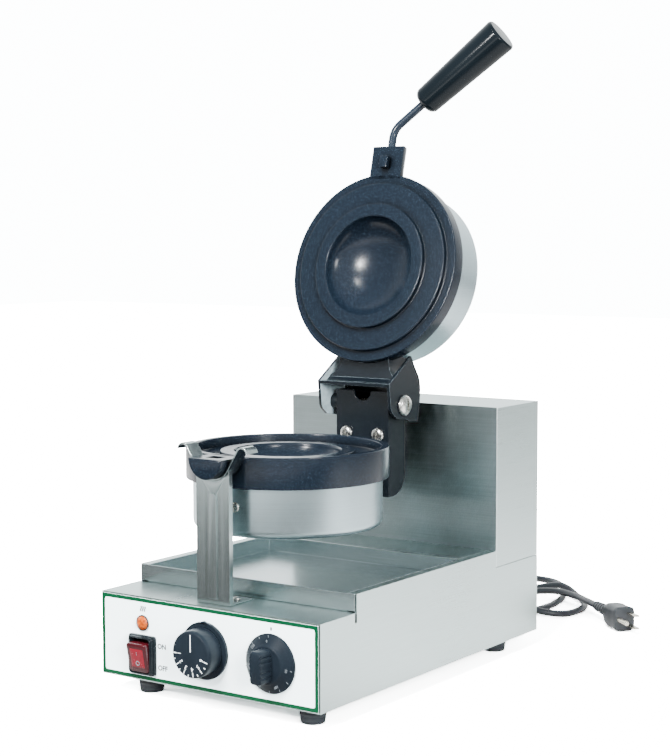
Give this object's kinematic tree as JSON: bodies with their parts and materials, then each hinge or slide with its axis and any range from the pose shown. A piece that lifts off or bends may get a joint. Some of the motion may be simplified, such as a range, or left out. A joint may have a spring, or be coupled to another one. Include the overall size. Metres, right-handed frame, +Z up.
{
  "type": "ufo waffle maker",
  "caption": "Countertop press for round filled waffles: two dark non-stick moulds on a turning head, lid open, stainless base with tray, timer and thermostat.",
  "frame": {"origin": "under the middle of the machine without its cord, on the table", "axes": "X to the right seen from the front, Y to the back, Z up"},
  "size_m": [0.3084, 0.6676, 0.6066],
  "materials": {
    "brushed_stainless": "brushed sheet",
    "polished_stainless": "polished sheet",
    "bright_zinc": "zinc plated",
    "non_stick_cast": "dark non-stick coating on cast metal",
    "coated_bracket": "dark satin coating",
    "aluminium_cover": "spun sheet",
    "black_plastic": "moulded",
    "black_rubber": "moulded",
    "white_panel": "printed plate",
    "red_rocker": "moulded",
    "amber_lens": "clear moulded",
    "bronze": "turned",
    "ceramic": "unglazed"
  },
  "bodies": {
    "base": {"base_shell": "brushed_stainless", "bottom_plate": "brushed_stainless", "rear_shelf": "brushed_stainless", "column_cover": "brushed_stainless", "rear_panel": "brushed_stainless", "front_post": "brushed_stainless", "cradle": "brushed_stainless", "post_screw_left": "bright_zinc", "post_screw_right": "bright_zinc", "timer_body": "bright_zinc", "thermostat_body": "bright_zinc", "plug_blade_upper": "bright_zinc", "plug_blade_lower": "bright_zinc", "plug_ground_pin": "bright_zinc", "bearing_block": "coated_bracket", "timer_pointer_ring": "black_plastic", "switch_body": "black_plastic", "lamp_body": "black_plastic", "foot_front_left": "black_rubber", "foot_front_right": "black_rubber", "foot_back_left": "black_rubber", "foot_back_right": "black_rubber", "switch_bezel": "black_rubber", "cord_gland": "black_rubber", "power_cord": "black_rubber", "plug_sleeve": "black_rubber", "plug_body": "black_rubber", "control_panel": "white_panel", "lamp_lens": "amber_lens", "shaft_bush": "bronze", "terminal_block": "ceramic"},
    "head": {"head_shaft": "bright_zinc", "shaft_flange": "coated_bracket", "flange_screw_left": "bright_zinc", "flange_screw_right": "bright_zinc", "shaft_collar": "bright_zinc", "lower_bracket": "coated_bracket", "lower_mould": "non_stick_cast", "lower_cover": "aluminium_cover", "lower_cover_screw": "bright_zinc", "lower_heater": "bright_zinc", "lid_pivot_pin": "bright_zinc", "pivot_nut": "bright_zinc", "pivot_spacer_left": "coated_bracket", "pivot_spacer_right": "coated_bracket"},
    "lid": {"upper_bracket": "coated_bracket", "upper_mould": "non_stick_cast", "upper_cover": "aluminium_cover", "upper_cover_screw": "bright_zinc", "upper_heater": "bright_zinc", "handle_rod": "coated_bracket", "handle_grip": "black_plastic"},
    "tray": {"drip_tray": "polished_stainless"},
    "timer_dial": {"timer_knob": "black_plastic"},
    "thermostat_dial": {"thermostat_knob": "black_plastic"},
    "rocker": {"switch_rocker": "red_rocker"}
  },
  "joints": [
    {"name": "head_turn", "type": "hinge", "parent": "base", "child": "head", "pos_m": [0, 0.1275, 0.217], "axis": [0, 1, 0], "range_deg": [-30, 30]},
    {"name": "lid_swing", "type": "hinge", "parent": "head", "child": "lid", "pos_m": [0, 0.074, 0.2445], "axis": [1, 0, 0], "range_deg": [0, 104]},
    {"name": "tray_lift", "type": "slide", "parent": "base", "child": "tray", "axis": [0, 0, 1], "range_m": [0, 0.017]},
    {"name": "timer_turn", "type": "hinge", "parent": "base", "child": "timer_dial", "pos_m": [0, -0.1725, 0.0522], "axis": [0, -1, 0], "range_deg": [0, 300]},
    {"name": "thermostat_turn", "type": "hinge", "parent": "base", "child": "thermostat_dial", "pos_m": [0.0705, -0.1725, 0.051], "axis": [0, -1, 0], "range_deg": [0, 270]},
    {"name": "rocker_tip", "type": "hinge", "parent": "base", "child": "rocker", "pos_m": [-0.0705, -0.1725, 0.0388], "axis": [-1, 0, 0], "range_deg": [0, 23]}
  ]
}
